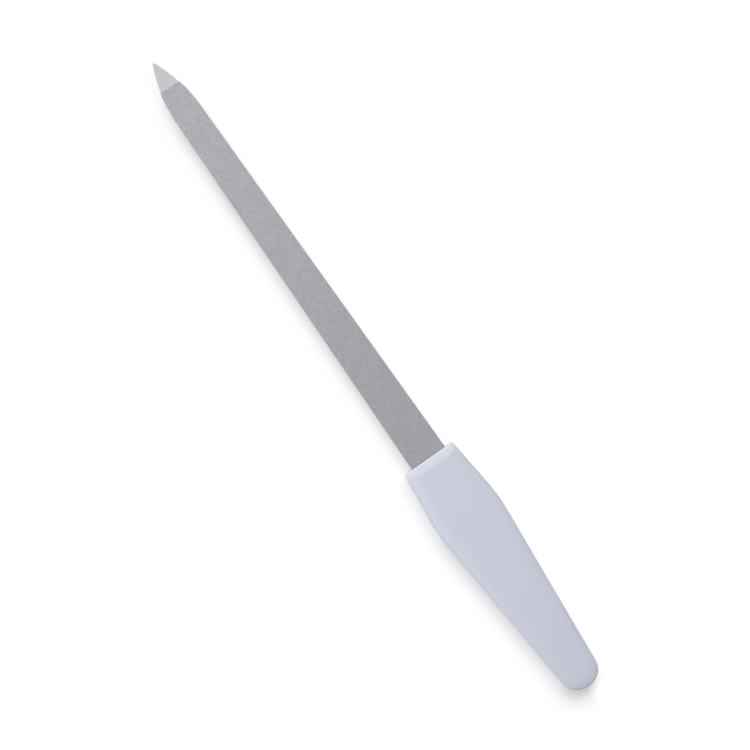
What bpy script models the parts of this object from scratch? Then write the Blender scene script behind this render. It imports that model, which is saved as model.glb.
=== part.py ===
"""A two-sided metal nail file with a moulded plastic handle.

Metres, +Z up. The file lies along X with its point towards +X, and rests on the flat land
under its handle at Z = 0. The origin is below the middle of its length and its width.
Stations run along the file: 0 at the blade's point, growing towards the handle's butt.
"""
import math

import bmesh
import bpy
from mathutils import Vector

# Blade: a steel blank, bare at its point, with a narrower tang inside the handle
BLADE_REACH = 0.0964
BLADE_THICKNESS = 0.0008
SHOULDER_STATION = 0.0121
SHOULDER_WIDTH = 0.0058
HEEL_WIDTH = 0.00785
NOSE_RADIUS = 0.0003
BLADE_EDGE_BREAK = 0.00012
ROOT_DEPTH = 0.002
TANG_DEPTH = 0.034
TANG_WIDTH = 0.0046
TANG_END_RADIUS = 0.001
LOCK_HOLE_RADIUS = 0.0012
LOCK_HOLE_SHARES = (0.3, 0.72)

# Grit: one thin coat on each face, folded down over half of the blade's edges
GRIT_BORDER = 0.00575
COAT_THICKNESS = 0.00015
COAT_SKIRT = 0.00008
COAT_SEAM = 0.0001
BOND_LINE = 0.00002

# Handle: one moulding, flat in the middle of both faces and crowned towards its rim
HANDLE_LENGTH = 0.0556
HANDLE_THICKNESS = 0.0044
MOUTH_WIDTH = 0.0117
MOUTH_CORNER_RADIUS = 0.0006
MOUTH_CHAMFER = 0.0019
BELLY_STATION = 0.01405
BELLY_GUIDE_WIDTH = 0.01465
BELLY_RADIUS = 0.035
BUTT_RADIUS = 0.0042
RIM_RADIUS = 0.0006
CROWN_RADIUS = 0.011
LAND_INSET_SHARE = 0.75
MOULD_FIT = 0.0001

# Modelling: how far a cutter runs past what it cuts, and how close welded points lie
CUT_OVERRUN = 0.001
WELD = 0.000001
NOSE_STEPS = 3
FLANK_STEPS = 9
CORNER_STEPS = 4
BELLY_STEPS = 5
BUTT_STEPS = 11
RIM_STEPS = 4
CROWN_STEPS = 4
ROUND_STEPS = 24
SMOOTH_ANGLE = math.radians(30)
EDGE_ANGLE = math.radians(60)
FLAT_ANGLE = math.radians(0.1)

# Places that follow from the sizes above
OVERALL_LENGTH = BLADE_REACH + HANDLE_LENGTH
POINT_X = OVERALL_LENGTH / 2
ROOT_END = BLADE_REACH + ROOT_DEPTH
TANG_END = BLADE_REACH + TANG_DEPTH
FLANK_RISE = (HEEL_WIDTH - SHOULDER_WIDTH) / 2
FLANK_ANGLE = math.atan2(FLANK_RISE, BLADE_REACH - SHOULDER_STATION)
COAT_OFFSET = BOND_LINE + COAT_SKIRT
COATED_HALF = BLADE_THICKNESS / 2 + BOND_LINE + COAT_THICKNESS

# Colours: linear RGB, then roughness and metallic value
STEEL = ((0.60, 0.60, 0.62), 0.28, 1.0)
COARSE_GRIT = ((0.38, 0.385, 0.41), 0.75, 0.25)
FINE_GRIT = ((0.45, 0.455, 0.48), 0.65, 0.25)
PLASTIC = ((0.57, 0.59, 0.68), 0.38, 0.0)


def clear_scene():
    """Remove every object, so that the file holds only this model."""
    for item in list(bpy.data.objects):
        bpy.data.objects.remove(item, do_unlink=True)


def new_collection(name):
    """Return a new collection, linked to the scene."""
    collection = bpy.data.collections.new(name)
    bpy.context.scene.collection.children.link(collection)
    return collection


def make_material(name, look):
    """Return a Principled material of one colour, roughness and metallic value."""
    colour, roughness, metallic = look
    material = bpy.data.materials.new(name)
    material.use_nodes = True
    shader = material.node_tree.nodes["Principled BSDF"]
    shader.inputs["Base Color"].default_value = (*colour, 1.0)
    shader.inputs["Roughness"].default_value = roughness
    shader.inputs["Metallic"].default_value = metallic
    return material


def direction(angle):
    """Return the unit vector at an angle in the plan."""
    return Vector((math.cos(angle), math.sin(angle)))


def angle_of(vector):
    """Return the angle of a plan vector."""
    return math.atan2(vector.y, vector.x)


def arc(centre, radius, start, end, steps):
    """Return the points of an arc from the angle start to the angle end."""
    turn = (end - start) / steps
    return [centre + radius * direction(start + turn * step) for step in range(steps + 1)]


def both_sides(half):
    """Turn a half outline of (station, half width) into a closed outline of (x, y)."""
    other = [Vector((point.x, -point.y)) for point in reversed(half) if point.y > WELD]
    return [Vector((POINT_X - point.x, point.y)) for point in half + other]


def add_object(name, mesh, collection, axis):
    """Link a mesh object whose own origin lies on the file's axis."""
    item = bpy.data.objects.new(name, mesh)
    item.parent = axis
    collection.objects.link(item)
    return item


def plate(name, outline, low, high, collection, axis):
    """Return a flat plate of an outline, between two heights from the file's axis."""
    curve = bpy.data.curves.new(name + "_outline", "CURVE")
    curve.dimensions = "2D"
    curve.fill_mode = "BOTH"
    curve.extrude = (high - low) / 2
    spline = curve.splines.new("POLY")
    spline.points.add(len(outline) - 1)
    for point, place in zip(spline.points, outline):
        point.co = (place.x, place.y, 0, 1)
    spline.use_cyclic_u = True
    drawing = bpy.data.objects.new(name + "_outline", curve)
    collection.objects.link(drawing)
    shape = drawing.evaluated_get(bpy.context.evaluated_depsgraph_get())
    mesh = bpy.data.meshes.new_from_object(shape)
    bpy.data.objects.remove(drawing, do_unlink=True)
    solid = bmesh.new()
    solid.from_mesh(mesh)
    bmesh.ops.remove_doubles(solid, verts=solid.verts, dist=WELD)
    bmesh.ops.dissolve_limit(solid, angle_limit=FLAT_ANGLE, verts=solid.verts,
                             edges=solid.edges)
    bmesh.ops.translate(solid, verts=solid.verts, vec=Vector((0, 0, (low + high) / 2)))
    bmesh.ops.recalc_face_normals(solid, faces=solid.faces)
    solid.to_mesh(mesh)
    solid.free()
    return add_object(name, mesh, collection, axis)


def post(name, station, radius, reach, collection, axis):
    """Return a round post across the file's axis, reaching as far up as down."""
    mesh = bpy.data.meshes.new(name)
    solid = bmesh.new()
    bmesh.ops.create_cone(solid, cap_ends=True, segments=ROUND_STEPS,
                          radius1=radius, radius2=radius, depth=2 * reach)
    solid.to_mesh(mesh)
    solid.free()
    item = add_object(name, mesh, collection, axis)
    item.location.x = POINT_X - station
    return item


def hide_cutter(item):
    """Keep a cutter out of the model and show it as wire."""
    item.hide_render = True
    item.display_type = "WIRE"


def cut(item, cutter):
    """Cut one object out of another with a Boolean modifier."""
    hide_cutter(cutter)
    boolean = item.modifiers.new("cut_" + cutter.name, "BOOLEAN")
    boolean.operation = "DIFFERENCE"
    boolean.solver = "EXACT"
    boolean.object = cutter


def smooth(item):
    """Shade the round faces smooth and keep the real edges sharp."""
    item.data.shade_smooth()
    item.data.set_sharp_from_angle(angle=SMOOTH_ANGLE)


def flank_arc():
    """Return the centre and radius of the arc between the nose and the straight flank."""
    half = SHOULDER_WIDTH / 2
    run = SHOULDER_STATION - NOSE_RADIUS
    normal = direction(math.pi / 2 + FLANK_ANGLE)
    lean = normal.y * half - NOSE_RADIUS + normal.x * run
    radius = (run ** 2 + half ** 2 - NOSE_RADIUS ** 2) / (2 * lean)
    return Vector((SHOULDER_STATION, half)) - radius * normal, radius


def flank_half_width(station, offset):
    """Return the half width of the straight flank, drawn out by an offset."""
    from_shoulder = station - SHOULDER_STATION
    return (SHOULDER_WIDTH / 2 + math.tan(FLANK_ANGLE) * from_shoulder
            + offset / math.cos(FLANK_ANGLE))


def flank_point(station, offset):
    """Return a point of the straight flank, drawn out by an offset."""
    return Vector((station, flank_half_width(station, offset)))


def blade_half_outline():
    """Return the steel blank's outline: nose, curved and straight flank, heel and tang."""
    centre, radius = flank_arc()
    nose_centre = Vector((NOSE_RADIUS, 0))
    blend = angle_of(nose_centre - centre)
    nose = arc(nose_centre, NOSE_RADIUS, math.pi, blend, NOSE_STEPS)
    curved = arc(centre, radius, blend, math.pi / 2 + FLANK_ANGLE, FLANK_STEPS)
    heel = [flank_point(ROOT_END, 0), Vector((ROOT_END, TANG_WIDTH / 2))]
    return nose + curved[1:] + heel + tang_end(0)


def tang_end(offset):
    """Return the rounded end of the tang's half outline, drawn out by an offset."""
    centre = Vector((TANG_END, TANG_WIDTH / 2)) - Vector((TANG_END_RADIUS, TANG_END_RADIUS))
    return arc(centre, TANG_END_RADIUS + offset, math.pi / 2, 0, CORNER_STEPS)


def coat_half_outline(offset, front, back):
    """Return the blade's outline between two stations, drawn out by an offset."""
    centre, radius = flank_arc()
    begin = math.acos((front - centre.x) / (radius + offset))
    curved = arc(centre, radius + offset, begin, math.pi / 2 + FLANK_ANGLE, FLANK_STEPS)
    return curved + [flank_point(back, offset)]


def lock_stations():
    """Return the stations of the holes through the tang."""
    return [ROOT_END + share * (TANG_END - ROOT_END) for share in LOCK_HOLE_SHARES]


def build_blade(parts, cutters, axis, steel):
    """Build the steel blank with its tang and locking holes."""
    half = BLADE_THICKNESS / 2
    blade = plate("blade", both_sides(blade_half_outline()), -half, half, parts, axis)
    broken_edge = blade.modifiers.new("broken_edges", "BEVEL")
    broken_edge.width = BLADE_EDGE_BREAK
    broken_edge.segments = 1
    broken_edge.limit_method = "ANGLE"
    broken_edge.angle_limit = EDGE_ANGLE
    for number, station in enumerate(lock_stations(), start=1):
        name = f"tang_hole_cutter_{number}"
        cut(blade, post(name, station, LOCK_HOLE_RADIUS, half + CUT_OVERRUN, cutters, axis))
    blade.data.materials.append(steel)
    smooth(blade)
    return blade


def build_coat(name, side, parts, cutters, axis, grit):
    """Build one grit coat, on the upper face for side 1 and on the lower one for side -1."""
    edge, face = sorted((side * COAT_SEAM / 2, side * COATED_HALF))
    outline = both_sides(coat_half_outline(COAT_OFFSET, GRIT_BORDER, ROOT_END))
    coat = plate(name, outline, edge, face, parts, axis)
    inside = BLADE_THICKNESS / 2 + BOND_LINE
    low, high = sorted((-side * CUT_OVERRUN, side * inside))
    room = both_sides(coat_half_outline(BOND_LINE, GRIT_BORDER - CUT_OVERRUN,
                                        ROOT_END + CUT_OVERRUN))
    cut(coat, plate(name + "_cutter", room, low, high, cutters, axis))
    coat.data.materials.append(grit)
    smooth(coat)
    return coat


def handle_flanks():
    """Return the belly's guide corner, the butt's centre and the two flanks' normals."""
    mouth = Vector((0, MOUTH_WIDTH / 2))
    belly = Vector((BELLY_STATION, BELLY_GUIDE_WIDTH / 2))
    butt = Vector((HANDLE_LENGTH - BUTT_RADIUS, 0))
    along = belly - mouth
    front = Vector((-along.y, along.x)).normalized()
    from_butt = belly - butt
    rear = direction(angle_of(from_butt) - math.acos(BUTT_RADIUS / from_butt.length))
    return belly, butt, front, rear


def handle_half_outline(inset, setback):
    """Return the handle's half outline, drawn in at its flanks and set back at its mouth."""
    belly, butt, front, rear = handle_flanks()
    corner_x = setback + MOUTH_CORNER_RADIUS
    flank_reach = front.dot(belly) - inset - MOUTH_CORNER_RADIUS
    corner = Vector((corner_x, (flank_reach - front.x * corner_x) / front.y))
    belly_centre = belly - BELLY_RADIUS * (front + rear) / (1 + front.dot(rear))
    points = arc(corner, MOUTH_CORNER_RADIUS, math.pi, angle_of(front), CORNER_STEPS)
    points += arc(belly_centre, BELLY_RADIUS - inset, angle_of(front), angle_of(rear),
                  BELLY_STEPS)
    points += arc(butt, BUTT_RADIUS - inset, angle_of(rear), 0, BUTT_STEPS)
    return [Vector((BLADE_REACH + point.x, point.y)) for point in points]


def handle_profile():
    """Return (inset, height) from the side wall, round the rim and up the crown."""
    reach = LAND_INSET_SHARE * BUTT_RADIUS
    crown_centre = Vector((reach, HANDLE_THICKNESS / 2 - CROWN_RADIUS))
    rise = math.sqrt((CROWN_RADIUS - RIM_RADIUS) ** 2 - (reach - RIM_RADIUS) ** 2)
    rim_centre = Vector((RIM_RADIUS, crown_centre.y + rise))
    blend = angle_of(rim_centre - crown_centre)
    rim = arc(rim_centre, RIM_RADIUS, math.pi, blend, RIM_STEPS)
    crown = arc(crown_centre, CROWN_RADIUS, blend, math.pi / 2, CROWN_STEPS)
    return rim + crown[1:]


def handle_rings():
    """Return the loft's rings, from the middle plane up to the flat land."""
    profile = handle_profile()
    lip, land = profile[0].y, profile[-1].y
    rings = [(handle_half_outline(0, 0), 0)]
    for inset, height in profile:
        setback = MOUTH_CHAMFER * (height - lip) / (land - lip)
        rings.append((handle_half_outline(inset, setback), height))
    return [[Vector((point.x, point.y, height)) for point in both_sides(half)]
            for half, height in rings]


def loft(name, rings, collection, axis):
    """Return an object through the rings, open at the first and closed at the last."""
    solid = bmesh.new()
    levels = [[solid.verts.new(place) for place in ring] for ring in rings]
    for lower, upper in zip(levels, levels[1:]):
        for near in range(len(lower)):
            far = (near + 1) % len(lower)
            solid.faces.new((lower[near], lower[far], upper[far], upper[near]))
    solid.faces.new(levels[-1])
    bmesh.ops.recalc_face_normals(solid, faces=solid.faces)
    mesh = bpy.data.meshes.new(name)
    solid.to_mesh(mesh)
    solid.free()
    return add_object(name, mesh, collection, axis)


def build_root_cutter(cutters, axis):
    """Build the cutter for the mouth, where the coated blade enters the handle."""
    front = BLADE_REACH - CUT_OVERRUN
    back = ROOT_END + MOULD_FIT
    offset = COAT_OFFSET + MOULD_FIT
    half = COATED_HALF + MOULD_FIT
    outline = both_sides([flank_point(front, offset), flank_point(back, offset)])
    return plate("root_cutter", outline, -half, half, cutters, axis)


def build_tang_cutter(cutters, axis):
    """Build the cutter for the tang's slot, with the pins that fill the tang's holes."""
    half = BLADE_THICKNESS / 2 + MOULD_FIT
    start = Vector((BLADE_REACH, TANG_WIDTH / 2 + MOULD_FIT))
    outline = both_sides([start] + tang_end(MOULD_FIT))
    slot = plate("tang_cutter", outline, -half, half, cutters, axis)
    for number, station in enumerate(lock_stations(), start=1):
        name = f"lock_pin_cutter_{number}"
        radius = LOCK_HOLE_RADIUS - MOULD_FIT
        cut(slot, post(name, station, radius, half + CUT_OVERRUN, cutters, axis))
    return slot


def build_handle(parts, cutters, axis, plastic):
    """Build the handle, moulded round the blade's root and tang."""
    handle = loft("handle", handle_rings(), parts, axis)
    mirror = handle.modifiers.new("lower_half", "MIRROR")
    mirror.use_axis = (False, False, True)
    mirror.merge_threshold = WELD
    cut(handle, build_root_cutter(cutters, axis))
    cut(handle, build_tang_cutter(cutters, axis))
    handle.data.materials.append(plastic)
    smooth(handle)
    return handle


def main():
    """Build the whole nail file."""
    clear_scene()
    parts = new_collection("nail_file")
    cutters = new_collection("nail_file_cutters")
    axis = bpy.data.objects.new("file_axis", None)
    axis.location.z = HANDLE_THICKNESS / 2
    parts.objects.link(axis)
    build_blade(parts, cutters, axis, make_material("satin_steel", STEEL))
    build_coat("coarse_grit_coat", 1, parts, cutters, axis,
               make_material("coarse_grit", COARSE_GRIT))
    build_coat("fine_grit_coat", -1, parts, cutters, axis,
               make_material("fine_grit", FINE_GRIT))
    build_handle(parts, cutters, axis, make_material("pale_plastic", PLASTIC))


main()
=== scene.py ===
"""The looks of a two-sided nail file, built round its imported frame.

Metres, in the frame's own axes: the file lies along X with its point towards +X, and the
flat land under its handle rests at Z = 0. Stations run along the file, from 0 at the
blade's point towards the handle's butt, and heights are told from its middle plane.
"""
import logging
import math
from dataclasses import dataclass
from enum import Enum

import bpy
import numpy as np
from mathutils import Euler, Matrix, Vector


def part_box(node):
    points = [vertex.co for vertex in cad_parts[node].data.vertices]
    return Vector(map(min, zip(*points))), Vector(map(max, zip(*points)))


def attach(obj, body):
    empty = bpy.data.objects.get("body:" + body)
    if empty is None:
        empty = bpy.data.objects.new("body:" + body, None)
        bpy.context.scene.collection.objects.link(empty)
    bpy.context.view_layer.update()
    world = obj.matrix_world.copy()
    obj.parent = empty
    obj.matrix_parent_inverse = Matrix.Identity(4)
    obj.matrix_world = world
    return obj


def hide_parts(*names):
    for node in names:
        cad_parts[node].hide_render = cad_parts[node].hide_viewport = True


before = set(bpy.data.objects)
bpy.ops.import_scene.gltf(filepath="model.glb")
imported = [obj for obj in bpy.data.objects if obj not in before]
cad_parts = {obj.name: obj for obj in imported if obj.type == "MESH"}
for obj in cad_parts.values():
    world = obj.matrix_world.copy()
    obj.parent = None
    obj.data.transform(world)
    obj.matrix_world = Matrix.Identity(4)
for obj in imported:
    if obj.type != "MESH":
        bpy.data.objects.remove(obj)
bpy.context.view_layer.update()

LOG = logging.getLogger("nail_file")
MM = 0.001
BODY = "root"
SHARP_ANGLE = math.radians(40)

Triple = tuple[float, float, float]
Value = float | tuple[float, ...] | bpy.types.NodeSocket
# A ramp takes one range to another: from low, from high, to low, to high.
Ramp = tuple[float, float, float, float]


class Face(Enum):
    """The side of the middle plane that a face of the blade lies on."""

    UPPER = 1
    LOWER = -1


class Slot(Enum):
    """The record's material slots."""

    STEEL = "satin_steel"
    COARSE = "coarse_grit"
    FINE = "fine_grit"
    PLASTIC = "pale_plastic"


def direction(angle: float) -> Vector:
    """Return the unit vector at an angle in a plane."""
    return Vector((math.cos(angle), math.sin(angle)))


def angle_of(vector: Vector) -> float:
    """Return the angle of a vector in a plane."""
    return math.atan2(vector.y, vector.x)


def arc(centre: Vector, radius: float, start: float, end: float, steps: int) -> list[Vector]:
    """Return the points of an arc.

    Args:
        centre: The arc's centre.
        radius: The arc's radius.
        start: The angle of the first point.
        end: The angle of the last point.
        steps: The number of chords.

    Returns:
        The steps + 1 points, from start to end.
    """
    turn = (end - start) / steps
    return [centre + radius * direction(start + turn * step) for step in range(steps + 1)]


def mesh_object(name: str, places: list[Triple], faces: list[tuple[int, ...]],
                smooth: bool) -> bpy.types.Object:
    """Make a mesh object in the scene.

    Args:
        name: The object's name.
        places: The vertices' places.
        faces: The vertex numbers of each face.
        smooth: Whether the faces are shaded smooth.

    Returns:
        The new object.
    """
    mesh = bpy.data.meshes.new(name)
    mesh.from_pydata(places, [], faces)
    mesh.update()
    mesh.validate()
    item = bpy.data.objects.new(name, mesh)
    bpy.context.scene.collection.objects.link(item)
    mesh.polygons.foreach_set("use_smooth", [smooth] * len(mesh.polygons))
    return item


def ring_faces(levels: int, around: int) -> list[tuple[int, ...]]:
    """Return the faces of a closed loft through rings, with a cap at both ends.

    Args:
        levels: The number of rings.
        around: The number of points in each ring, anticlockwise seen from the last ring.

    Returns:
        The vertex numbers of each face.
    """
    faces: list[tuple[int, ...]] = [tuple(reversed(range(around)))]
    for level in range(levels - 1):
        low, high = level * around, (level + 1) * around
        for near in range(around):
            far = (near + 1) % around
            faces.append((low + near, low + far, high + far, high + near))
    faces.append(tuple(range((levels - 1) * around, levels * around)))
    return faces


def loft(name: str, rings: list[list[Triple]], smooth: bool) -> bpy.types.Object:
    """Make a closed loft through rings of equal length.

    Args:
        name: The object's name.
        rings: Each ring's places, anticlockwise seen from the last ring.
        smooth: Whether the faces are shaded smooth.

    Returns:
        The new object.
    """
    places = [place for ring in rings for place in ring]
    return mesh_object(name, places, ring_faces(len(rings), len(rings[0])), smooth)


def shade_evenly(piece: bpy.types.Object) -> None:
    """Keep a piece's sharp edges and level the shading of its flat faces."""
    piece.data.set_sharp_from_angle(angle=SHARP_ANGLE)
    piece.modifiers.new("even_shading", "WEIGHTED_NORMAL").keep_sharp = True


@dataclass(frozen=True)
class Layout:
    """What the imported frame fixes: where the pieces begin and end, and how thick they are."""

    point_x: float
    border_x: float
    mouth_x: float
    root_x: float
    tang_end_x: float
    butt_x: float
    middle_z: float
    steel_half: float
    coated_half: float
    coated_half_width: float
    handle_half: float

    @classmethod
    def read(cls) -> "Layout":
        """Read the layout from the boxes of the frame's nodes."""
        blade_low, blade_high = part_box("blade")
        coat_low, coat_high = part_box("coarse_grit_coat")
        handle_low, handle_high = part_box("handle")
        middle = (handle_low.z + handle_high.z) / 2
        return cls(
            point_x=blade_high.x,
            border_x=coat_high.x,
            mouth_x=handle_high.x,
            root_x=coat_low.x,
            tang_end_x=blade_low.x,
            butt_x=handle_low.x,
            middle_z=middle,
            steel_half=(blade_high.z - blade_low.z) / 2,
            coated_half=coat_high.z - middle,
            coated_half_width=coat_high.y,
            handle_half=handle_high.z - middle,
        )

    def station(self, x: float) -> float:
        """Return the station of a place along X."""
        return self.point_x - x

    def both_sides(self, half: list[Vector], height: float) -> list[Triple]:
        """Close a half outline on both sides of the file's axis.

        Args:
            half: The half outline, as (station, half width).
            height: The outline's height above the middle plane.

        Returns:
            The places of the whole outline, anticlockwise seen from above.
        """
        on_axis = 1e-9
        other = [Vector((point.x, -point.y)) for point in reversed(half) if point.y > on_axis]
        z = self.middle_z + height
        return [(self.point_x - point.x, point.y, z) for point in half + other]


class NodeTree:
    """A short hand for a tree of shader nodes."""

    def __init__(self, tree: bpy.types.NodeTree) -> None:
        """Clear the tree.

        Args:
            tree: The node tree of a material or of the world.
        """
        tree.nodes.clear()
        self.tree = tree

    def add(self, kind: str, settings: dict[str, str] | None = None,
            **inputs: Value) -> bpy.types.Node:
        """Add a node.

        Args:
            kind: The node's type, without its ShaderNode prefix.
            settings: The node's own properties.
            **inputs: A value or a socket for each input, by its name in small letters with
                underscores, or by its number after an underscore.

        Returns:
            The new node.
        """
        node = self.tree.nodes.new("ShaderNode" + kind)
        for key, value in (settings or {}).items():
            setattr(node, key, value)
        for key, value in inputs.items():
            socket = self.socket(node, key)
            if isinstance(value, bpy.types.NodeSocket):
                self.tree.links.new(value, socket)
            else:
                socket.default_value = value
        return node

    @staticmethod
    def socket(node: bpy.types.Node, key: str) -> bpy.types.NodeSocket:
        """Return a node's input socket by its name or its number."""
        if key.startswith("_"):
            return node.inputs[int(key[1:])]
        return next(item for item in node.inputs if item.name.lower().replace(" ", "_") == key)

    def math(self, operation: str, first: Value, second: Value = 0.0,
             third: Value = 0.0) -> bpy.types.NodeSocket:
        """Add a sum of two or three values and return its result."""
        return self.add("Math", {"operation": operation}, _0=first, _1=second,
                        _2=third).outputs[0]

    def blend(self, share: Value, first: Value, second: Value) -> bpy.types.NodeSocket:
        """Mix two colours by the share of the second and return the result."""
        mix = self.add("Mix", {"data_type": "RGBA"}, _0=share, _6=first, _7=second)
        return mix.outputs[2]

    def spread(self, value: Value, low: float, high: float, to_low: float,
               to_high: float) -> bpy.types.NodeSocket:
        """Map a value from one range to another, held at both ends, and return it."""
        return self.add("MapRange", _0=value, _1=low, _2=high, _3=to_low, _4=to_high).outputs[0]

    def places(self, stretch: Triple = (1.0, 1.0, 1.0)) -> bpy.types.NodeSocket:
        """Return the object's coordinates, stretched along its axes."""
        coordinates = self.add("TexCoord")
        mapping = self.add("Mapping", vector=coordinates.outputs["Object"], scale=stretch)
        return mapping.outputs[0]

    def noise(self, places: Value, scale: float, detail: float = 2.0) -> bpy.types.NodeSocket:
        """Return a noise value at some places."""
        return self.add("TexNoise", vector=places, scale=scale, detail=detail).outputs[0]

    def rays(self) -> tuple[bpy.types.NodeSocket, bpy.types.NodeSocket]:
        """Return the mark of the camera's rays, and that of mirrored and refracted ones."""
        path = self.add("LightPath").outputs
        return path["Is Camera Ray"], self.math("MAXIMUM", path["Is Glossy Ray"],
                                                path["Is Transmission Ray"])


def new_material(name: str) -> tuple[bpy.types.Material, NodeTree]:
    """Return a new material and its empty node tree."""
    material = bpy.data.materials.new(name)
    material.use_nodes = True
    return material, NodeTree(material.node_tree)


def rgba(colour: Triple) -> tuple[float, float, float, float]:
    """Return a colour with full alpha."""
    return (*colour, 1.0)


@dataclass(frozen=True)
class SatinSteel:
    """Plated steel, brushed along the blade, with a lighter line in front of the grit."""

    colour: Triple = (0.715, 0.706, 0.75)
    bright: Triple = (0.775, 0.77, 0.81)
    dull: Triple = (0.645, 0.637, 0.675)
    dull_ramp: Ramp = (0.35, 0.7, 0.0, 0.35)
    roughness_ramp: Ramp = (0.7, 1.3, 0.22, 0.32)
    line_width: float = 0.75 * MM
    brush: Triple = (0.06, 1.0, 1.0)
    brush_scale: float = 9000.0
    brush_detail: float = 3.0
    cloud_scale: float = 700.0
    streak_height: float = 0.0015 * MM
    streak_strength: float = 0.35

    def make(self, border_x: float) -> bpy.types.Material:
        """Make the steel's material.

        Args:
            border_x: Where along X the grit begins.

        Returns:
            The material.
        """
        material, tree = new_material("satin_steel")
        places = tree.places()
        streaks = tree.noise(tree.places(self.brush), self.brush_scale, self.brush_detail)
        clouds = tree.noise(places, self.cloud_scale)
        colour = tree.blend(tree.spread(streaks, *self.dull_ramp), rgba(self.colour),
                            rgba(self.dull))
        along = tree.add("SeparateXYZ", vector=places).outputs[0]
        line = tree.spread(along, border_x, border_x + self.line_width, 1.0, 0.0)
        ahead = tree.math("GREATER_THAN", along, border_x)
        colour = tree.blend(tree.math("MULTIPLY", line, ahead), colour, rgba(self.bright))
        roughness = tree.spread(tree.math("ADD", streaks, clouds), *self.roughness_ramp)
        relief = tree.add("Bump", height=streaks, distance=self.streak_height,
                          strength=self.streak_strength)
        shader = tree.add("BsdfPrincipled", base_color=colour, metallic=1.0,
                          roughness=roughness, normal=relief.outputs[0])
        tree.add("OutputMaterial", surface=shader.outputs[0])
        return material


@dataclass(frozen=True)
class Grit:
    """Corundum grains set in grey resin: each grain has a tone and a gloss of its own."""

    name: str
    colour: Triple
    # Painted shade: the colour at the handle's end is darker, standing in for the light falling
    # off along the blade.
    heel_painted_shade: Triple
    pale: Triple
    dark: Triple
    grain_scale: float
    grain_height: float
    grain_strength: float = 0.7
    pale_ramp: Ramp = (0.55, 1.0, 0.0, 0.45)
    dark_ramp: Ramp = (0.6, 1.0, 0.0, 0.4)
    mottle_scale: float = 1300.0
    mottle_ramp: Ramp = (0.35, 0.65, 0.0, 0.3)
    # Painted shade: a darker band where the grit runs into the handle's mouth, where shade falls.
    mouth_shade_colour: Triple = (0.26, 0.26, 0.275)
    mouth_shade_width: float = 0.3 * MM
    mouth_shade_share: float = 0.5
    roughness_ramp: Ramp = (0.0, 1.0, 0.38, 0.8)
    metallic: float = 0.2

    def make(self, border_x: float, mouth_x: float) -> bpy.types.Material:
        """Make the grit's material: painted shade darkens it towards the handle, and in a band
        against it.

        Args:
            border_x: Where along X the grit begins.
            mouth_x: Where along X it enters the handle.

        Returns:
            The material.
        """
        material, tree = new_material(self.name)
        places = tree.places()
        grains = tree.add("TexVoronoi", vector=places, scale=self.grain_scale)
        whiteness, darkness, polish = tree.add("SeparateColor",
                                               color=grains.outputs["Color"]).outputs
        mottle = tree.noise(places, self.mottle_scale)
        along = tree.add("SeparateXYZ", vector=places).outputs[0]
        # Painted shade: darker from the grit's border to the handle's mouth, for the light's
        # falloff.
        colour = tree.blend(tree.spread(along, mouth_x, border_x, 1.0, 0.0),
                            rgba(self.colour), rgba(self.heel_painted_shade))
        # Painted shade in a band just in front of the handle's mouth.
        mouth_shade = tree.spread(along, mouth_x, mouth_x + self.mouth_shade_width, self.mouth_shade_share, 0.0)
        for share, over in ((tree.spread(whiteness, *self.pale_ramp), self.pale),
                            (tree.spread(darkness, *self.dark_ramp), self.dark),
                            (tree.spread(mottle, *self.mottle_ramp), self.dark),
                            (mouth_shade, self.mouth_shade_colour)):
            colour = tree.blend(share, colour, rgba(over))
        roughness = tree.spread(polish, *self.roughness_ramp)
        relief = tree.add("Bump", height=grains.outputs["Distance"],
                          strength=self.grain_strength, distance=self.grain_height)
        relief.invert = True
        shader = tree.add("BsdfPrincipled", base_color=colour, metallic=self.metallic,
                          roughness=roughness, normal=relief.outputs[0])
        tree.add("OutputMaterial", surface=shader.outputs[0])
        return material


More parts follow.
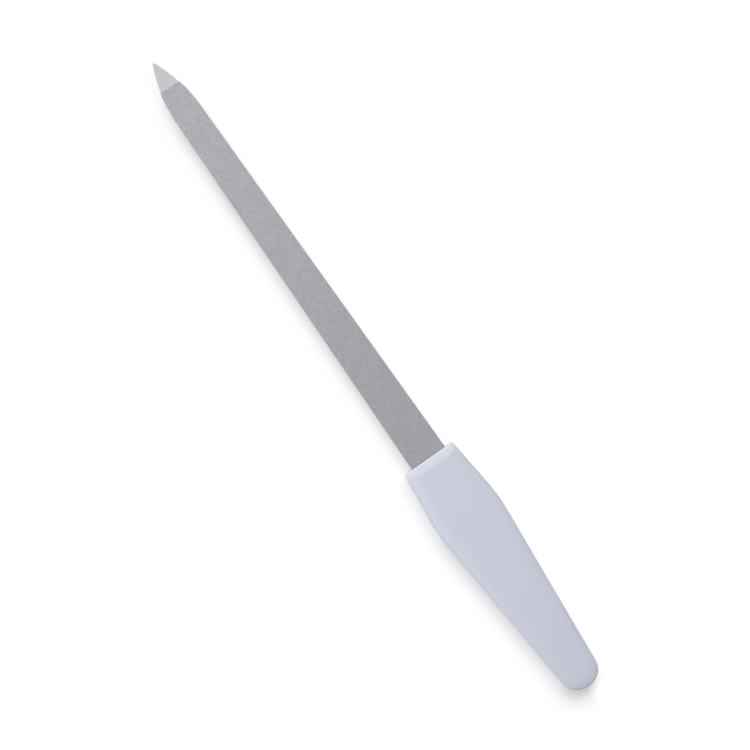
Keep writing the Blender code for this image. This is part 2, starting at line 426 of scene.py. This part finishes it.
@dataclass(frozen=True)
class PalePlastic:
    """Pale blue-grey moulded plastic: semi-gloss, faintly clouded and lightly scuffed."""

    mouth_colour: Triple = (0.574, 0.6, 0.685)
    butt_colour: Triple = (0.591, 0.601, 0.702)
    cloud_colour: Triple = (0.561, 0.576, 0.672)
    cloud_scale: float = 160.0
    cloud_ramp: Ramp = (0.4, 0.7, 0.0, 0.35)
    # Painted highlight: a paler band along the mouth's lip, brightest just inside its edge and
    # faint on the mouth's face.
    lip_highlight_colour: Triple = (0.82, 0.79, 0.79)
    lip_highlight_depths: Triple = (0.45 * MM, 0.22 * MM, 0.15 * MM)
    highlight_share: float = 0.45
    highlight_on_face: float = 0.1
    roughness_ramp: Ramp = (0.3, 0.7, 0.30, 0.37)
    scuff_stretch: Triple = (0.05, 1.0, 1.0)
    scuff_scale: float = 5200.0
    scuff_detail: float = 4.0
    scuff_range: tuple[float, float] = (0.62, 0.75)
    scuff_roughness: float = 0.12
    scuff_strength: float = 0.4
    skin_scale: float = 2600.0
    skin_height: float = 0.0015 * MM
    skin_strength: float = 0.5

    def make(self, mouth_x: float, butt_x: float) -> bpy.types.Material:
        """Make the plastic's material.

        Args:
            mouth_x: Where along X the handle begins.
            butt_x: Where along X the handle ends.

        Returns:
            The material.
        """
        material, tree = new_material("pale_plastic")
        places = tree.places()
        along = tree.add("SeparateXYZ", vector=places).outputs[0]
        share = tree.spread(along, butt_x, mouth_x, 1.0, 0.0)
        colour = tree.blend(share, rgba(self.mouth_colour), rgba(self.butt_colour))
        clouds = tree.noise(places, self.cloud_scale)
        colour = tree.blend(tree.spread(clouds, *self.cloud_ramp), colour,
                            rgba(self.cloud_colour))
        # Painted highlight along the mouth's lip.
        inner, peak, outer = (mouth_x - depth for depth in self.lip_highlight_depths)
        lip = tree.math("MULTIPLY", tree.spread(along, inner, peak, 0.0, self.highlight_share),
                        tree.spread(along, outer, mouth_x, 1.0, self.highlight_on_face))
        colour = tree.blend(lip, colour, rgba(self.lip_highlight_colour))
        scuffs = tree.noise(tree.places(self.scuff_stretch), self.scuff_scale,
                            self.scuff_detail)
        roughness = tree.math("ADD", tree.spread(clouds, *self.roughness_ramp),
                              tree.spread(scuffs, *self.scuff_range, 0.0,
                                          self.scuff_roughness))
        skin = tree.add("Bump", height=tree.noise(places, self.skin_scale),
                        distance=self.skin_height, strength=self.skin_strength)
        scratched = tree.add("Bump", height=tree.spread(scuffs, *self.scuff_range, 1.0, 0.0),
                             distance=self.skin_height, strength=self.scuff_strength,
                             normal=skin.outputs[0])
        shader = tree.add("BsdfPrincipled", base_color=colour, roughness=roughness,
                          normal=scratched.outputs[0])
        tree.add("OutputMaterial", surface=shader.outputs[0])
        return material


def dress(piece: bpy.types.Object, material: bpy.types.Material, slot: Slot,
          *nodes: str) -> None:
    """Give a piece its material and its body, hide the frame's nodes that it replaces, and log
    its slot.

    Args:
        piece: The finished piece.
        material: Its material.
        slot: The record's slot that it takes its finish from.
        *nodes: The frame's nodes that it replaces.
    """
    piece.data.materials.clear()
    piece.data.materials.append(material)
    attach(piece, BODY)
    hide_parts(*nodes)
    LOG.info("%s: %d faces, in %s", piece.name, len(piece.data.polygons), slot.value)


def subtract(piece: bpy.types.Object, cutters: list[bpy.types.Object]) -> None:
    """Cut objects out of a piece, keep the result as its mesh and remove the cutters.

    Args:
        piece: The piece that is cut.
        cutters: What is cut away.
    """
    for cutter in cutters:
        boolean = piece.modifiers.new("cut_" + cutter.name, "BOOLEAN")
        boolean.operation = "DIFFERENCE"
        boolean.solver = "EXACT"
        boolean.object = cutter
    evaluated = piece.evaluated_get(bpy.context.evaluated_depsgraph_get())
    whole = piece.data
    piece.data = bpy.data.meshes.new_from_object(evaluated)
    piece.modifiers.clear()
    bpy.data.meshes.remove(whole)
    for cutter in cutters:
        bpy.data.objects.remove(cutter, do_unlink=True)


@dataclass
class Blade:
    """The steel blank: bare point, tapering flanks, and a tang with two locking holes."""

    layout: Layout
    finish: SatinSteel
    shoulder_station: float = 12.1 * MM
    shoulder_width: float = 5.8 * MM
    heel_width: float = 7.85 * MM
    nose_radius: float = 0.3 * MM
    edge_radius: float = 0.12 * MM
    tang_width: float = 4.6 * MM
    tang_end_radius: float = 1.0 * MM
    hole_radius: float = 1.2 * MM
    hole_shares: tuple[float, float] = (0.3, 0.72)
    cutter_overrun: float = 1.0 * MM
    nose_steps: int = 10
    flank_steps: int = 40
    edge_steps: int = 6
    round_steps: int = 48

    def flank_angle(self) -> float:
        """Return the angle between the straight flank and the file's axis."""
        run = self.layout.station(self.layout.mouth_x) - self.shoulder_station
        return math.atan2((self.heel_width - self.shoulder_width) / 2, run)

    def flank_arc(self) -> tuple[Vector, float]:
        """Return the centre and radius of the arc between the nose and the straight flank."""
        half = self.shoulder_width / 2
        run = self.shoulder_station - self.nose_radius
        normal = direction(math.pi / 2 + self.flank_angle())
        lean = normal.y * half - self.nose_radius + normal.x * run
        radius = (run ** 2 + half ** 2 - self.nose_radius ** 2) / (2 * lean)
        return Vector((self.shoulder_station, half)) - radius * normal, radius

    def half_width(self, station: float, offset: float) -> float:
        """Return the half width at a station behind the nose.

        Args:
            station: The station.
            offset: How far the outline is drawn out.

        Returns:
            The half width.
        """
        centre, radius = self.flank_arc()
        angle = self.flank_angle()
        if station < self.shoulder_station - offset * math.sin(angle):
            reach = radius + offset
            return centre.y + math.sqrt(reach ** 2 - (station - centre.x) ** 2)
        past = station - self.shoulder_station
        return self.shoulder_width / 2 + math.tan(angle) * past + offset / math.cos(angle)

    def half_outline(self, inset: float) -> list[Vector]:
        """Return the blank's half outline, drawn in by an inset."""
        centre, radius = self.flank_arc()
        nose_centre = Vector((self.nose_radius, 0))
        blend = angle_of(nose_centre - centre)
        points = arc(nose_centre, self.nose_radius - inset, math.pi, blend, self.nose_steps)
        points += arc(centre, radius - inset, blend, math.pi / 2 + self.flank_angle(),
                      self.flank_steps)[1:]
        heel = self.layout.station(self.layout.root_x) - inset
        tang = self.tang_width / 2
        points += [Vector((heel, self.half_width(heel, -inset))), Vector((heel, tang - inset))]
        end = Vector((self.layout.station(self.layout.tang_end_x), tang))
        corner = end - Vector((self.tang_end_radius, self.tang_end_radius))
        return points + arc(corner, self.tang_end_radius - inset, math.pi / 2, 0,
                            self.edge_steps)

    def hole_stations(self) -> list[float]:
        """Return the stations of the holes through the tang."""
        root = self.layout.station(self.layout.root_x)
        end = self.layout.station(self.layout.tang_end_x)
        return [root + share * (end - root) for share in self.hole_shares]

    def post(self, name: str, station: float, radius: float, reach: float) -> bpy.types.Object:
        """Make a round post across the middle plane, to cut with.

        Args:
            name: The post's name.
            station: Its station.
            radius: Its radius.
            reach: How far it reaches above and below the middle plane.

        Returns:
            The post.
        """
        circle = arc(Vector((self.layout.point_x - station, 0)), radius, 0, math.tau,
                     self.round_steps)[:-1]
        rings = [[(point.x, point.y, self.layout.middle_z + height) for point in circle]
                 for height in (-reach, reach)]
        return loft(name, rings, False)

    def build(self) -> bpy.types.Object:
        """Build the blank with its rounded edges and its holes."""
        flat = self.layout.steel_half - self.edge_radius
        rise = arc(Vector((self.edge_radius, flat)), self.edge_radius, math.pi, math.pi / 2,
                   self.edge_steps)
        upper = [(step.x, step.y) for step in rise]
        levels = [(inset, -height) for inset, height in reversed(upper)] + upper
        rings = [self.layout.both_sides(self.half_outline(inset), height)
                 for inset, height in levels]
        blank = loft("steel_blank", rings, True)
        reach = self.layout.steel_half + self.cutter_overrun
        subtract(blank, [self.post(f"hole_{number}", station, self.hole_radius, reach)
                         for number, station in enumerate(self.hole_stations(), start=1)])
        shade_evenly(blank)
        dress(blank, self.finish.make(self.layout.border_x), Slot.STEEL, "blade")
        return blank


@dataclass
class GritCoat:
    """One face's grit: a thin shell of jagged grains, folded down over the blade's edges.

    Its border by the point wavers, and is set back a little askew, as photographed.
    """

    layout: Layout
    blade: Blade
    face: Face
    finish: Grit
    slot: Slot
    node: str
    seed: int
    relief: float
    grain_pitch: float = 0.108 * MM
    grain_share: float = 0.75
    clump_share: float = 0.2
    stray: float = 0.35
    bond_line: float = 0.02 * MM
    seam: float = 0.1 * MM
    edge_radius: float = 0.13 * MM
    border_waver: float = 0.05 * MM
    border_skew: float = 0.04
    border_setback: float = 0.05 * MM
    skewed_rows: int = 24
    across_steps: int = 76
    skirt_steps: int = 3
    corner_steps: int = 3

    def section(self, half_width: float) -> tuple[np.ndarray, np.ndarray]:
        """Return the outer path across the blade, from one seam edge to the other.

        Args:
            half_width: The coat's half width.

        Returns:
            The path's points and their outward normals, as (y, height) rows.
        """
        top = self.layout.coated_half
        flat = half_width - self.edge_radius
        centre = Vector((flat, top - self.edge_radius))
        low, high = self.seam / 2, centre.y
        skirt = [Vector((half_width, low + (high - low) * step / self.skirt_steps))
                 for step in range(self.skirt_steps)]
        corner = arc(centre, self.edge_radius, 0, math.pi / 2, self.corner_steps)
        side = skirt + corner
        normals = [Vector((1, 0))] * len(skirt) + [(point - centre).normalized()
                                                   for point in corner]
        across = [Vector((flat - 2 * flat * step / self.across_steps, top))
                  for step in range(1, self.across_steps)]
        other = [Vector((-point.x, point.y)) for point in reversed(side)]
        other_normals = [Vector((-normal.x, normal.y)) for normal in reversed(normals)]
        points = side + across + other
        outward = normals + [Vector((0, 1))] * len(across) + other_normals
        return np.array([tuple(p) for p in points]), np.array([tuple(n) for n in outward])

    def inner_section(self, half_width: float) -> np.ndarray:
        """Return the inner path back across the blade, as (y, height) rows."""
        skirt = half_width - self.bond_gap()
        top = self.layout.steel_half + self.bond_line
        low = self.seam / 2
        return np.array([(-skirt, low), (-skirt, top), (skirt, top), (skirt, low)])

    def bond_gap(self) -> float:
        """Return the thickness of the coat over the blade's edges."""
        root = self.layout.station(self.layout.root_x)
        return self.layout.coated_half_width - self.blade.half_width(root, self.bond_line)

    def grains(self, rows: int, columns: int) -> np.ndarray:
        """Return how far each point of the coat stands out, from about -1 to 1.

        Args:
            rows: The number of points along the blade.
            columns: The number of points across it.

        Returns:
            The heights, as rows of columns.
        """
        random = np.random.default_rng(self.seed)
        fine = random.uniform(-1, 1, (rows, columns))
        clumps = random.normal(0, 1, (rows, columns))
        for axis in (0, 1):
            clumps = (clumps + np.roll(clumps, 1, axis) + np.roll(clumps, 2, axis)) / math.sqrt(3)
        return self.grain_share * fine + self.clump_share * clumps

    def outer_skin(self, widths: list[float]) -> tuple[np.ndarray, np.ndarray]:
        """Make the coat's outer skin, rough with grains that stray from their rows.

        Args:
            widths: The coat's half width at each row of grains.

        Returns:
            The skin's points, as rows of (y, height), and how far each strays backwards.
        """
        sections = [self.section(width) for width in widths]
        skin = np.stack([points for points, _ in sections])
        normals = np.stack([outward for _, outward in sections])
        rows, columns = skin.shape[:2]
        heights = self.grains(rows, columns) * self.relief
        skin = skin + normals * heights[..., None]
        random = np.random.default_rng(self.seed + 1)
        sideways = random.uniform(-self.stray, self.stray, (rows, columns)) * self.grain_pitch
        skin[:, :, 0] += sideways * normals[:, :, 1]
        back = random.uniform(-self.stray, self.stray, (rows, columns)) * self.grain_pitch
        back[0] = random.uniform(-1, 1, columns) * self.border_waver
        back[-1] = 0
        return skin, back

    def build(self) -> bpy.types.Object:
        """Build the coat as one closed shell of flat-sided grains."""
        front = self.layout.station(self.layout.border_x)
        back = self.layout.station(self.layout.root_x)
        rows = round((back - front) / self.grain_pitch)
        stations = np.linspace(front, back, rows)
        offset = self.layout.coated_half_width - self.blade.half_width(back, 0)
        widths = [self.blade.half_width(station, offset) for station in stations]
        outer, shift = self.outer_skin(widths)
        inner = np.stack([self.inner_section(width) for width in widths])
        section = np.concatenate([outer, inner], axis=1)
        shift = np.concatenate([shift, np.zeros(inner.shape[:2])], axis=1)
        fade = np.clip(1 - np.arange(rows) / self.skewed_rows, 0, 1)[:, None]
        shift += fade * (self.border_setback - self.border_skew * section[:, :, 0])
        places = np.empty((rows, section.shape[1], 3))
        places[..., 0] = self.layout.point_x - stations[:, None] - shift
        places[..., 1] = section[..., 0]
        places[..., 2] = self.layout.middle_z + self.face.value * section[..., 1]
        if self.face is Face.UPPER:
            places = places[:, ::-1]
        coat = loft(f"{self.node}_grains", places.tolist(), False)
        material = self.finish.make(self.layout.border_x, self.layout.mouth_x)
        dress(coat, material, self.slot, self.node)
        return coat


@dataclass
class Handle:
    """The moulded handle: flat lands, crowned faces, round rim and a bevelled mouth.

    It sits a third of a degree askew on its blade, as photographed.
    """

    layout: Layout
    blade: Blade
    finish: PalePlastic
    mouth_width: float = 11.56 * MM
    mouth_corner_radius: float = 0.6 * MM
    mouth_chamfer: float = 1.65 * MM
    lip_radius: float = 0.3 * MM
    lip_shares: tuple[float, ...] = (0.7, 0.5, 0.35, 0.2, 0.08)
    chamfer_blend_radius: float = 2.4 * MM
    belly_station: float = 14.05 * MM
    belly_guide_width: float = 14.5 * MM
    belly_radius: float = 35.0 * MM
    butt_radius: float = 4.1 * MM
    end_radius: float = 5.0 * MM
    end_corner_radius: float = 3.6 * MM
    rim_radius: float = 0.6 * MM
    crown_radius: float = 14.0 * MM
    land_inset_share: float = 0.75
    lean: float = math.radians(0.34)
    lean_station: float = 104.4 * MM
    mould_fit: float = 0.1 * MM
    parting_half: float = 0.04 * MM
    parting_height: float = 0.05 * MM
    corner_steps: int = 10
    belly_steps: int = 24
    end_corner_steps: int = 36
    end_steps: int = 12
    rim_steps: int = 10
    crown_steps: int = 16

    def flanks(self) -> tuple[Vector, Vector, Vector, Vector]:
        """Return the belly's guide corner, the butt's centre and both flanks' normals."""
        length = self.layout.mouth_x - self.layout.butt_x
        mouth = Vector((0, self.mouth_width / 2))
        belly = Vector((self.belly_station, self.belly_guide_width / 2))
        butt = Vector((length - self.butt_radius, 0))
        along = belly - mouth
        front = Vector((-along.y, along.x)).normalized()
        from_butt = belly - butt
        rear = direction(angle_of(from_butt) - math.acos(self.butt_radius / from_butt.length))
        return belly, butt, front, rear

    def half_outline(self, inset: float, setback: float) -> list[Vector]:
        """Return the half outline at one height.

        Args:
            inset: How far the flanks and the butt are drawn in.
            setback: How far the mouth is set back.

        Returns:
            The points, as (station, half width).
        """
        belly, butt, front, rear = self.flanks()
        corner_x = setback + self.mouth_corner_radius
        reach = front.dot(belly) - inset - self.mouth_corner_radius
        corner = Vector((corner_x, (reach - front.x * corner_x) / front.y))
        centre = belly - self.belly_radius * (front + rear) / (1 + front.dot(rear))
        points = arc(corner, self.mouth_corner_radius, math.pi, angle_of(front),
                     self.corner_steps)
        points += arc(centre, self.belly_radius - inset, angle_of(front), angle_of(rear),
                      self.belly_steps)
        end = butt + Vector((self.butt_radius - self.end_radius, 0))
        out = rear.dot(belly - end) - self.end_corner_radius
        back = math.sqrt((self.end_radius - self.end_corner_radius) ** 2 - out ** 2)
        bend = Vector((out * rear.x + back * rear.y, out * rear.y - back * rear.x))
        points += arc(end + bend, self.end_corner_radius - inset, angle_of(rear),
                      angle_of(bend), self.end_corner_steps)
        points += arc(end, self.end_radius - inset, angle_of(bend), 0, self.end_steps)[1:]
        mouth = self.layout.station(self.layout.mouth_x)
        return [Vector((mouth + point.x, point.y)) for point in points]

    def side_profile(self) -> tuple[list[Vector], float]:
        """Return (inset, height) round the rim and up the crown, and the rim's foot."""
        half = self.layout.handle_half
        reach = self.land_inset_share * self.butt_radius
        crown_centre = Vector((reach, half - self.crown_radius))
        rise = math.sqrt((self.crown_radius - self.rim_radius) ** 2
                         - (reach - self.rim_radius) ** 2)
        rim_centre = Vector((self.rim_radius, crown_centre.y + rise))
        blend = angle_of(rim_centre - crown_centre)
        rim = arc(rim_centre, self.rim_radius, math.pi, blend, self.rim_steps)
        crown = arc(crown_centre, self.crown_radius, blend, math.pi / 2, self.crown_steps)
        return rim + crown[1:], rim_centre.y

    def setback(self, height: float, lip: float) -> float:
        """Return how far the mouth is set back at a height above the middle plane.

        Args:
            height: The height.
            lip: The height at which the mouth's face would meet its chamfer.

        Returns:
            The setback: none on the face, then a round lip, the chamfer and a soft blend.
        """
        top = self.layout.handle_half
        steep = math.atan2(self.mouth_chamfer, top - lip)
        lip_run = self.lip_radius * math.tan(steep / 2)
        blend_run = self.chamfer_blend_radius * math.tan((math.pi / 2 - steep) / 2)
        if height <= lip - lip_run:
            return 0.0
        if height < lip + lip_run * math.cos(steep):
            up = height - (lip - lip_run)
            return self.lip_radius - math.sqrt(self.lip_radius ** 2 - up ** 2)
        if height < top - blend_run * math.cos(steep):
            return (height - lip) * math.tan(steep)
        down = height - (top - self.chamfer_blend_radius)
        return (self.mouth_chamfer + blend_run
                - math.sqrt(max(self.chamfer_blend_radius ** 2 - down ** 2, 0.0)))

    def levels(self) -> list[tuple[float, float, float]]:
        """Return (inset, setback, height) from the middle plane up to the land."""
        profile, lip = self.side_profile()
        ridge = [Vector((-self.parting_height, self.parting_half)),
                 Vector((0, self.parting_half + self.parting_height))]
        lip_steps = [Vector((0, lip - self.lip_radius * share)) for share in self.lip_shares]
        return [(step.x, self.setback(step.y, lip), step.y)
                for step in ridge + lip_steps + profile]

    def slot_cutters(self) -> list[bpy.types.Object]:
        """Return the cutters for the mouth's pocket and for the tang's slot with its pins."""
        layout, blade = self.layout, self.blade
        mouth = layout.station(layout.mouth_x)
        root = layout.station(layout.root_x) + self.mould_fit
        over = mouth - blade.cutter_overrun
        wide = layout.coated_half_width + self.mould_fit - blade.half_width(root, 0)
        pocket = [Vector((over, blade.half_width(over, wide))),
                  Vector((root, blade.half_width(root, wide)))]
        end = Vector((layout.station(layout.tang_end_x), blade.tang_width / 2))
        corner = end - Vector((blade.tang_end_radius, blade.tang_end_radius))
        slot = [Vector((mouth, end.y + self.mould_fit))]
        slot += arc(corner, blade.tang_end_radius + self.mould_fit, math.pi / 2, 0,
                    blade.edge_steps)
        pocket_cutter = self.prism("pocket", pocket, layout.coated_half + self.mould_fit)
        slot_half = layout.steel_half + self.mould_fit
        slot_cutter = self.prism("slot", slot, slot_half)
        subtract(slot_cutter, [
            blade.post(f"pin_{number}", station, blade.hole_radius - self.mould_fit,
                       slot_half + blade.cutter_overrun)
            for number, station in enumerate(blade.hole_stations(), start=1)])
        return [pocket_cutter, slot_cutter]

    def prism(self, name: str, half: list[Vector], reach: float) -> bpy.types.Object:
        """Make a flat block of a half outline, mirrored, across the middle plane.

        Args:
            name: The block's name.
            half: Its half outline, as (station, half width).
            reach: How far it reaches above and below the middle plane.

        Returns:
            The block.
        """
        rings = [self.layout.both_sides(half, height) for height in (-reach, reach)]
        return loft(name, rings, False)

    def build(self) -> bpy.types.Object:
        """Build the handle with its slot for the tang."""
        upper = self.levels()
        levels = [(inset, setback, -height) for inset, setback, height in reversed(upper)]
        rings = [self.layout.both_sides(self.half_outline(inset, setback), height)
                 for inset, setback, height in levels + upper]
        handle = loft("moulded_handle", rings, True)
        pivot = Matrix.Translation((self.layout.point_x - self.lean_station, 0, 0))
        handle.data.transform(pivot @ Matrix.Rotation(self.lean, 4, "Z") @ pivot.inverted())
        subtract(handle, self.slot_cutters())
        shade_evenly(handle)
        material = self.finish.make(self.layout.mouth_x, self.layout.butt_x)
        dress(handle, material, Slot.PLASTIC, "handle")
        return handle


@dataclass(frozen=True)
class Lamp:
    """A soft oblong lamp, placed by the picture's own right and up.

    A window lights what it shines on, and a card is only seen as a sheen in glossy faces.
    """

    name: str
    right: float
    up: float
    height: float
    width: float
    length: float
    power: float
    card: bool = False


@dataclass
class Picture:
    """How the file lies in the photograph's frame, seen from straight above."""

    layout: Layout
    size: float = 750.0
    point: tuple[float, float] = (152.75, 62.83)
    butt: tuple[float, float] = (587.75, 686.51)
    outline_rise: float = 1.28 * MM
    lens: float = 100.0
    sensor: float = 36.0

    def __post_init__(self) -> None:
        """Work out the picture's scale and its own axes on the floor."""
        along = Vector((self.point[0] - self.butt[0], self.butt[1] - self.point[1]))
        self.turn = -angle_of(along)
        self.pixel = (self.layout.point_x - self.layout.butt_x) / along.length
        self.right = Vector((math.cos(self.turn), math.sin(self.turn), 0))
        self.up = Vector((-math.sin(self.turn), math.cos(self.turn), 0))

    def place(self, right: float, up: float, height: float) -> Vector:
        """Return a place from its distances to the file's middle along the picture's axes."""
        middle = (self.layout.point_x + self.layout.butt_x) / 2
        return Vector((middle, 0, height)) + right * self.right + up * self.up

    def add_camera(self) -> None:
        """Hang the camera above the file, turned so that the file lies as photographed."""
        data = bpy.data.cameras.new("photo_camera")
        data.lens = self.lens
        data.sensor_width = self.sensor
        data.clip_start = 1 * MM
        camera = bpy.data.objects.new("photo_camera", data)
        bpy.context.scene.collection.objects.link(camera)
        distance = self.lens / self.sensor * self.size * self.pixel
        right = (self.size - self.point[0] - self.butt[0]) / 2 * self.pixel
        up = (self.point[1] + self.butt[1] - self.size) / 2 * self.pixel
        height = self.layout.middle_z + self.outline_rise + distance
        camera.location = self.place(right, up, height)
        camera.rotation_euler = (0, 0, self.turn)
        bpy.context.scene.camera = camera


@dataclass
class Studio:
    """A plain white table under soft light.

    The tones are the paper's share of white beside the point, the blade, the handle and the
    butt, and a glow lifts the rest to white: beside the point the low tone lets this painted
    light wash the cast shadow out, and by the butt the high tone keeps it deep. The lights
    are what the lamps give the bare floor at both ends of the file, far from it, and less
    beyond it, on the side where the photograph has almost no shadow: there the glow is raised
    further, and this painted light fills in the file's shadow.
    """

    picture: Picture
    floor_size: float = 6.0
    floor_gap: float = 0.05 * MM
    white: Triple = (1.0, 1.0, 1.0)
    # Painted light: where the tone is low, the glow makes up the white and washes the cast shadow
    # out.
    point_tone: float = 0.12
    blade_tone: float = 0.60
    handle_tone: float = 0.82
    butt_tone: float = 0.97
    point_fade: tuple[float, float] = (60.0 * MM, 75.0 * MM)
    handle_fade: tuple[float, float] = (-44.0 * MM, -22.0 * MM)
    butt_fade: tuple[float, float] = (-76.8 * MM, -73.5 * MM)
    lit_reach: float = 100.0 * MM
    light_at_point: float = 1.222
    light_at_butt: float = 0.875
    # Painted light: less light taken beyond the file raises the glow there, filling in its
    # shadow.
    shadow_fill_beyond: float = 0.28
    shadow_fill_fade: tuple[float, float] = (-2.0 * MM, 0.4 * MM)
    near_radius: float = 72.0 * MM
    far_radius: float = 500.0 * MM
    light_far: float = 0.2
    ambient: float = 0.25
    gloss_level: float = 0.79
    lamps: tuple[Lamp, ...] = (
        Lamp("top_window", right=0.0, up=0.243, height=0.389, width=0.56, length=0.36,
             power=1.87),
        Lamp("left_window", right=-0.40, up=-0.06, height=0.22, width=0.30, length=0.25,
             power=1.12),
        Lamp("left_card", right=-0.148, up=-0.148, height=0.41, width=0.20, length=0.20,
             power=0.20, card=True),
    )

    def floor_tone(self, tree: NodeTree, places: bpy.types.NodeSocket) -> bpy.types.NodeSocket:
        """Return the paper's tone, which grows towards the butt, as the shadow deepens.

        Args:
            tree: The floor's node tree.
            places: The places on the floor.

        Returns:
            The tone.
        """
        along = tree.add("SeparateXYZ", vector=places).outputs[0]
        # Painted light: the low tone by the point lets the glow wash the shadow out; higher tones
        # keep it deep.
        tone = tree.spread(along, *self.point_fade, self.blade_tone, self.point_tone)
        for fade, rise in ((self.handle_fade, self.handle_tone - self.blade_tone),
                           (self.butt_fade, self.butt_tone - self.handle_tone)):
            tone = tree.math("ADD", tone, tree.spread(along, *fade, rise, 0.0))
        return tone

    def floor_light(self, tree: NodeTree, places: bpy.types.NodeSocket) -> bpy.types.NodeSocket:
        """Return the light that the lamps are taken to give the bare floor.

        Args:
            tree: The floor's node tree.
            places: The places on the floor.

        Returns:
            The light, where 1 shows white paper as white.
        """
        along, across, _ = tree.add("SeparateXYZ", vector=places).outputs
        light = tree.spread(along, -self.lit_reach, self.lit_reach, self.light_at_butt,
                            self.light_at_point)
        away = tree.add("VectorMath", {"operation": "LENGTH"}, _0=places).outputs["Value"]
        far = tree.spread(away, self.near_radius, self.far_radius, 0.0, 1.0)
        fall = tree.math("SUBTRACT", self.light_far, light)
        light = tree.math("MULTIPLY_ADD", far, fall, light)
        # Painted light: on the -Y side beyond the file the glow rises and fills in the file's
        # cast shadow.
        beyond = tree.spread(across, *self.shadow_fill_fade, self.shadow_fill_beyond, 0.0)
        return tree.math("SUBTRACT", light, beyond)

    def add_floor(self) -> None:
        """Lay the floor, lifted to white by what it lacks, so that it keeps the shadow."""
        half = self.floor_size / 2
        corners = [(x, y, -self.floor_gap)
                   for x, y in ((-half, -half), (half, -half), (half, half), (-half, half))]
        floor = mesh_object("white_floor", corners, [(0, 1, 2, 3)], False)
        material, tree = new_material("white_floor")
        places = tree.add("TexCoord").outputs["Object"]
        tone = self.floor_tone(tree, places)
        paper = tree.add("BsdfDiffuse", color=tone)
        lack = tree.math("SUBTRACT", 1.0,
                         tree.math("MULTIPLY", tone, self.floor_light(tree, places)))
        seen = tree.math("MAXIMUM", *tree.rays())
        lift = tree.add("Emission", strength=tree.math("MULTIPLY", seen, lack))
        both = tree.add("AddShader", _0=paper.outputs[0], _1=lift.outputs[0])
        tree.add("OutputMaterial", surface=both.outputs[0])
        floor.data.materials.append(material)

    def add_world(self) -> None:
        """Light the room evenly, white where the camera looks past the floor."""
        world = bpy.data.worlds.new("room")
        world.use_nodes = True
        tree = NodeTree(world.node_tree)
        direct, mirrored = tree.rays()
        strength = tree.spread(mirrored, 0.0, 1.0, self.ambient, self.gloss_level)
        strength = tree.math("MAXIMUM", strength, direct)
        light = tree.add("Background", color=rgba(self.white), strength=strength)
        tree.add("OutputWorld", surface=light.outputs[0])
        bpy.context.scene.world = world

    def add_lamps(self) -> None:
        """Hang the soft lamps, each turned to the middle of the file."""
        target = self.picture.place(0, 0, 0)
        for lamp in self.lamps:
            data = bpy.data.lights.new(lamp.name, "AREA")
            data.shape = "RECTANGLE"
            data.size = lamp.width
            data.size_y = lamp.length
            data.energy = lamp.power
            item = bpy.data.objects.new(lamp.name, data)
            bpy.context.scene.collection.objects.link(item)
            item.location = self.picture.place(lamp.right, lamp.up, lamp.height)
            item.rotation_euler = self.aim(target - item.location)
            item.visible_camera = False
            item.visible_glossy = lamp.card
            item.visible_diffuse = not lamp.card
            LOG.info("%s: %.2f W", lamp.name, lamp.power)

    def aim(self, sight: Vector) -> Euler:
        """Return the turn of a lamp that shines along a sight, level in the picture.

        Args:
            sight: The direction from the lamp to its target.

        Returns:
            The lamp's rotation.
        """
        back = -sight.normalized()
        side = self.picture.up.cross(back).normalized()
        return Matrix((side, back.cross(side), back)).transposed().to_euler()

    def build(self) -> None:
        """Set up the whole studio."""
        self.add_floor()
        self.add_world()
        self.add_lamps()
        bpy.context.scene.view_settings.view_transform = "Standard"


def main() -> None:
    """Build the file and the studio round it."""
    logging.basicConfig(level=logging.INFO, format="%(message)s")
    layout = Layout.read()
    blade = Blade(layout, SatinSteel())
    blade.build()
    coarse = Grit("coarse_grit", colour=(0.412, 0.415, 0.446),
                  heel_painted_shade=(0.342, 0.345, 0.371), pale=(0.524, 0.529, 0.56),
                  dark=(0.286, 0.289, 0.31), grain_scale=7500.0, grain_height=0.02 * MM)
    fine = Grit("fine_grit", colour=(0.44, 0.445, 0.47), heel_painted_shade=(0.42, 0.425, 0.45),
                pale=(0.55, 0.555, 0.58), dark=(0.335, 0.34, 0.36), grain_scale=13000.0,
                grain_height=0.01 * MM)
    GritCoat(layout, blade, Face.UPPER, coarse, Slot.COARSE, "coarse_grit_coat", seed=11,
             relief=0.03 * MM).build()
    GritCoat(layout, blade, Face.LOWER, fine, Slot.FINE, "fine_grit_coat", seed=23,
             relief=0.016 * MM).build()
    Handle(layout, blade, PalePlastic()).build()
    picture = Picture(layout)
    picture.add_camera()
    Studio(picture).build()


if __name__ == "__main__":
    main()
